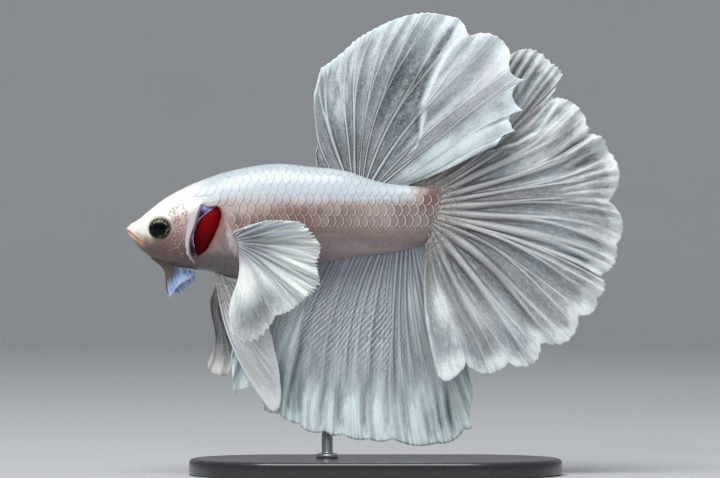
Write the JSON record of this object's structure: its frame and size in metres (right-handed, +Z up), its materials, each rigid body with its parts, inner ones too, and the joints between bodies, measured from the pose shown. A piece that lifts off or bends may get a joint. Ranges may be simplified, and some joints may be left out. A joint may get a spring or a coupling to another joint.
{
  "type": "betta fish",
  "caption": "Life-size model of a male halfmoon betta fish with all fins spread and the gills flared, held as if swimming on a slim rod over a flat base.",
  "frame": {"origin": "centre of the underside of the stand's base", "axes": "+Z up; the fish faces -X and its left side faces -Y"},
  "size_m": [0.0718, 0.028, 0.0668],
  "materials": {
    "skin": "wet skin under scales, cool white on the back, pinkish tan on the flanks",
    "fin_membrane": "ribbed membrane, white rays and edge over grey webs",
    "eye": "wet black eye with a thin pale gold ring",
    "gill": "wet deep red filaments",
    "throat_membrane": "thin sky-blue membrane",
    "stand_base": "satin black",
    "stand_rod": "fine brushed"
  },
  "bodies": {
    "root": {"head": "skin", "lower_jaw": "skin", "trunk": "skin", "tail_stalk": "skin", "gill_cover_left": "skin", "gill_cover_right": "skin", "gill_left": "gill", "gill_right": "gill", "eye_left": "eye", "eye_right": "eye", "throat_membrane_left": "throat_membrane", "throat_membrane_right": "throat_membrane", "dorsal_fin": "fin_membrane", "tail_fin": "fin_membrane", "anal_fin": "fin_membrane", "pectoral_fin_left": "fin_membrane", "pectoral_fin_right": "fin_membrane", "pelvic_fin_left": "fin_membrane", "pelvic_fin_right": "fin_membrane", "stand_base": "stand_base", "stand_rod": "stand_rod"}
  },
  "joints": []
}
